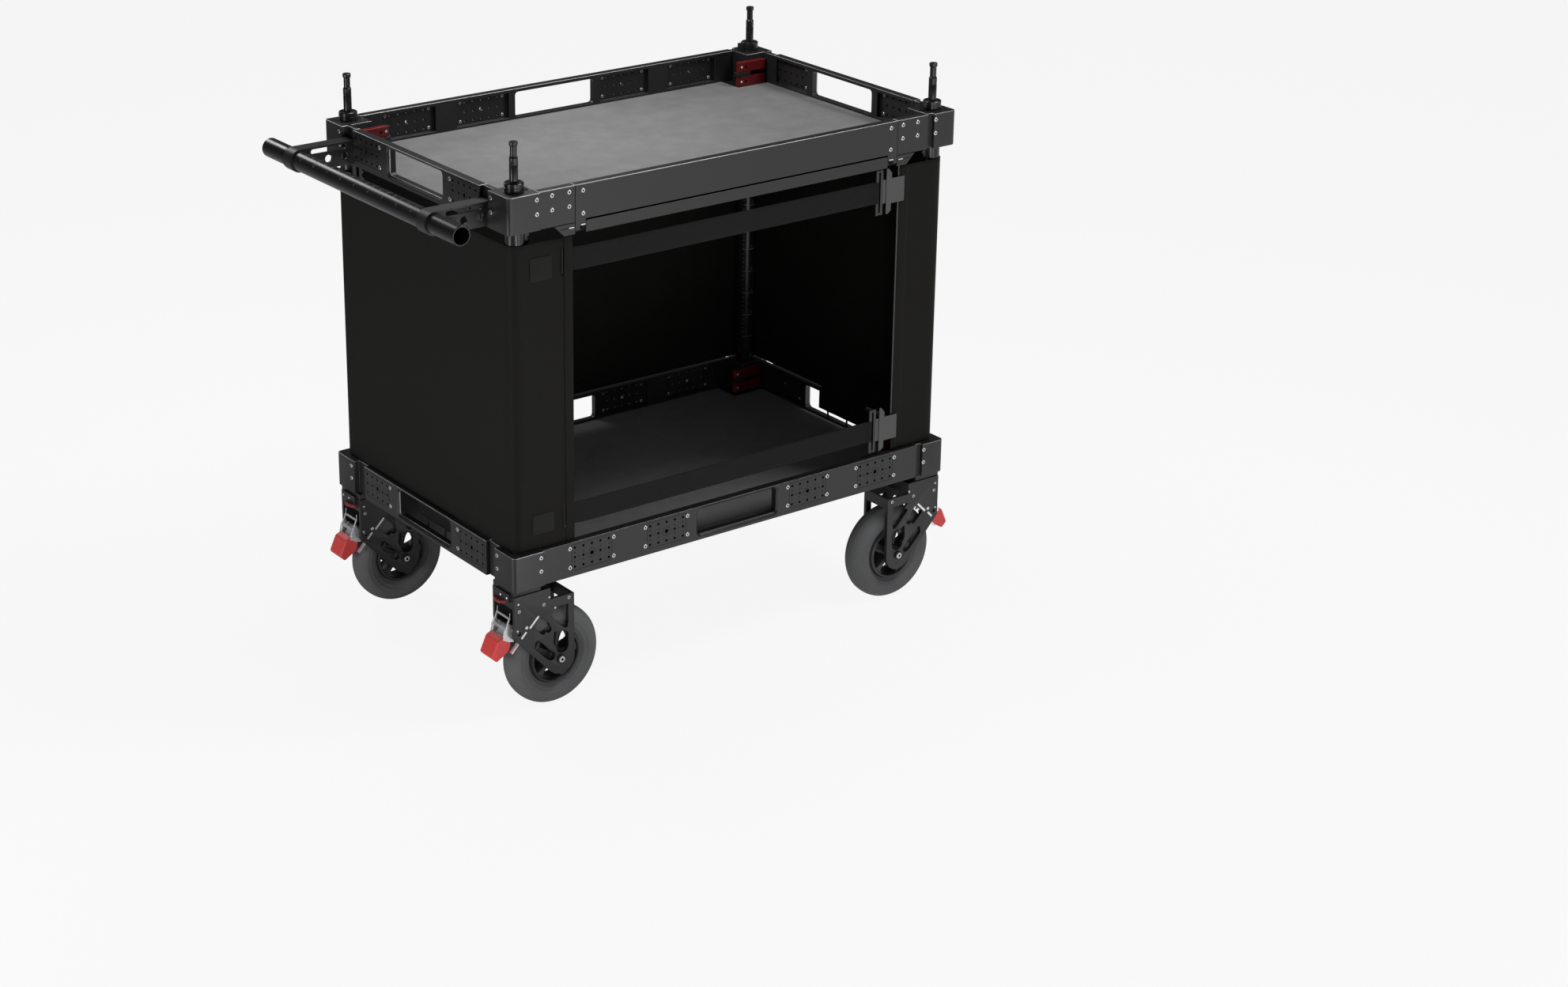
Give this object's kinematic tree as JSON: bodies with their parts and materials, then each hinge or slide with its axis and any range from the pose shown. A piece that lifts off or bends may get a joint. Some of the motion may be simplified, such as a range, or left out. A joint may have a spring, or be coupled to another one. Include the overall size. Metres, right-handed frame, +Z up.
{
  "type": "camera cart",
  "caption": "Tray cart for camera gear with swivel casters, foot brakes, racked posts with spigots, drop gate, push handle and open-fronted fabric cover.",
  "frame": {"origin": "on the floor, under the middle of the whole cart's bounding box", "axes": "+X along the trays away from the push handle, -Y towards the open front with the drop gate, +Z up"},
  "size_m": [1.213, 0.692, 1.119],
  "materials": {
    "anodised_black": "black anodised aluminium, satin",
    "cast_black": "black anodised cast aluminium, fine texture",
    "fork_black": "black powder coat, fine texture",
    "mat_grey": "grey non-slip mat",
    "cover_fabric": "black woven nylon, soft sheen",
    "strap_webbing": "black webbing",
    "tyre_grey": "grey non-marking rubber",
    "hub_black": "black moulded hub",
    "pedal_red": "red moulded pedal",
    "lever_red": "dark red anodised",
    "knob_red": "red ball knob",
    "bright_steel": "zinc plated steel"
  },
  "bodies": {
    "base": {"lower_block_front_left": "cast_black", "lower_block_front_right": "cast_black", "lower_block_rear_left": "cast_black", "lower_block_rear_right": "cast_black", "lower_rail_front": "anodised_black", "lower_rail_rear": "anodised_black", "lower_rail_left": "anodised_black", "lower_rail_right": "anodised_black", "lower_deck": "anodised_black", "lower_mat": "mat_grey", "post_front_left": "anodised_black", "post_front_right": "anodised_black", "post_rear_left": "anodised_black", "post_rear_right": "anodised_black", "cover_left": "cover_fabric", "cover_right": "cover_fabric", "cover_rear": "cover_fabric", "strap_lower": "strap_webbing", "strap_upper": "strap_webbing"},
    "tray": {"upper_block_front_left": "cast_black", "upper_block_front_right": "cast_black", "upper_block_rear_left": "cast_black", "upper_block_rear_right": "cast_black", "upper_rail_front": "anodised_black", "upper_rail_rear": "anodised_black", "upper_rail_left": "anodised_black", "upper_rail_right": "anodised_black", "upper_deck": "anodised_black", "upper_mat": "mat_grey", "gate_hinge_rod": "bright_steel", "handle_tube": "cast_black", "handle_bracket_front": "cast_black", "handle_bracket_rear": "cast_black"},
    "gate": {"drop_gate": "anodised_black"},
    "knob_left": {"gate_knob_left": "knob_red"},
    "knob_right": {"gate_knob_right": "knob_red"},
    "lever_front_left": {"cam_lever_front_left": "lever_red"},
    "swivel_front_left": {"caster_fork_front_left": "fork_black", "axle_bolt_front_left": "bright_steel"},
    "wheel_front_left": {"wheel_hub_front_left": "hub_black", "tyre_front_left": "tyre_grey"},
    "pedal_front_left": {"brake_pedal_front_left": "pedal_red"},
    "lever_front_right": {"cam_lever_front_right": "lever_red"},
    "swivel_front_right": {"caster_fork_front_right": "fork_black", "axle_bolt_front_right": "bright_steel"},
    "wheel_front_right": {"wheel_hub_front_right": "hub_black", "tyre_front_right": "tyre_grey"},
    "pedal_front_right": {"brake_pedal_front_right": "pedal_red"},
    "lever_rear_left": {"cam_lever_rear_left": "lever_red"},
    "swivel_rear_left": {"caster_fork_rear_left": "fork_black", "axle_bolt_rear_left": "bright_steel"},
    "wheel_rear_left": {"wheel_hub_rear_left": "hub_black", "tyre_rear_left": "tyre_grey"},
    "pedal_rear_left": {"brake_pedal_rear_left": "pedal_red"},
    "lever_rear_right": {"cam_lever_rear_right": "lever_red"},
    "swivel_rear_right": {"caster_fork_rear_right": "fork_black", "axle_bolt_rear_right": "bright_steel"},
    "wheel_rear_right": {"wheel_hub_rear_right": "hub_black", "tyre_rear_right": "tyre_grey"},
    "pedal_rear_right": {"brake_pedal_rear_right": "pedal_red"}
  },
  "joints": [
    {"name": "tray_height", "type": "slide", "parent": "base", "child": "tray", "axis": [0, 0, 1], "range_m": [-0.25, 0], "deforming": ["cover_left", "cover_right", "cover_rear", "strap_lower", "strap_upper"]},
    {"name": "gate_drop", "type": "hinge", "parent": "tray", "child": "gate", "pos_m": [0.047, -0.318, 0.945], "axis": [1, 0, 0], "range_deg": [0, 90]},
    {"name": "gate_knob_left_pull", "type": "slide", "parent": "gate", "child": "knob_left", "axis": [1, 0, 0], "range_m": [0, 0.008], "stiffness_N_per_m": 600, "springref_m": -0.005},
    {"name": "gate_knob_right_pull", "type": "slide", "parent": "gate", "child": "knob_right", "axis": [-1, 0, 0], "range_m": [0, 0.008], "stiffness_N_per_m": 600, "springref_m": -0.005},
    {"name": "lever_front_left_turn", "type": "hinge", "parent": "tray", "child": "lever_front_left", "pos_m": [-0.383, -0.253, 0.99], "axis": [0, 0, -1], "range_deg": [0, 90]},
    {"name": "caster_front_left_swivel", "type": "hinge", "parent": "base", "child": "swivel_front_left", "pos_m": [-0.441, -0.284, 0.24], "axis": [0, 0, 1], "continuous": true},
    {"name": "caster_front_left_roll", "type": "hinge", "parent": "swivel_front_left", "child": "wheel_front_left", "pos_m": [-0.3685, -0.284, 0.1], "axis": [0, 1, 0], "continuous": true},
    {"name": "brake_front_left_press", "type": "hinge", "parent": "swivel_front_left", "child": "pedal_front_left", "pos_m": [-0.461, -0.284, 0.176], "axis": [0, -1, 0], "range_deg": [0, 13]},
    {"name": "lever_front_right_turn", "type": "hinge", "parent": "tray", "child": "lever_front_right", "pos_m": [0.477, -0.253, 0.99], "axis": [0, 0, 1], "range_deg": [0, 90]},
    {"name": "caster_front_right_swivel", "type": "hinge", "parent": "base", "child": "swivel_front_right", "pos_m": [0.535, -0.284, 0.24], "axis": [0, 0, 1], "continuous": true},
    {"name": "caster_front_right_roll", "type": "hinge", "parent": "swivel_front_right", "child": "wheel_front_right", "pos_m": [0.4625, -0.284, 0.1], "axis": [0, 1, 0], "continuous": true},
    {"name": "brake_front_right_press", "type": "hinge", "parent": "swivel_front_right", "child": "pedal_front_right", "pos_m": [0.555, -0.284, 0.176], "axis": [0, 1, 0], "range_deg": [0, 13]},
    {"name": "lever_rear_left_turn", "type": "hinge", "parent": "tray", "child": "lever_rear_left", "pos_m": [-0.383, 0.253, 0.99], "axis": [0, 0, 1], "range_deg": [0, 90]},
    {"name": "caster_rear_left_swivel", "type": "hinge", "parent": "base", "child": "swivel_rear_left", "pos_m": [-0.441, 0.284, 0.24], "axis": [0, 0, 1], "continuous": true},
    {"name": "caster_rear_left_roll", "type": "hinge", "parent": "swivel_rear_left", "child": "wheel_rear_left", "pos_m": [-0.3685, 0.284, 0.1], "axis": [0, 1, 0], "continuous": true},
    {"name": "brake_rear_left_press", "type": "hinge", "parent": "swivel_rear_left", "child": "pedal_rear_left", "pos_m": [-0.461, 0.284, 0.176], "axis": [0, -1, 0], "range_deg": [0, 13]},
    {"name": "lever_rear_right_turn", "type": "hinge", "parent": "tray", "child": "lever_rear_right", "pos_m": [0.477, 0.253, 0.99], "axis": [0, 0, -1], "range_deg": [0, 90]},
    {"name": "caster_rear_right_swivel", "type": "hinge", "parent": "base", "child": "swivel_rear_right", "pos_m": [0.535, 0.284, 0.24], "axis": [0, 0, 1], "continuous": true},
    {"name": "caster_rear_right_roll", "type": "hinge", "parent": "swivel_rear_right", "child": "wheel_rear_right", "pos_m": [0.4625, 0.284, 0.1], "axis": [0, 1, 0], "continuous": true},
    {"name": "brake_rear_right_press", "type": "hinge", "parent": "swivel_rear_right", "child": "pedal_rear_right", "pos_m": [0.555, 0.284, 0.176], "axis": [0, 1, 0], "range_deg": [0, 13]}
  ]
}
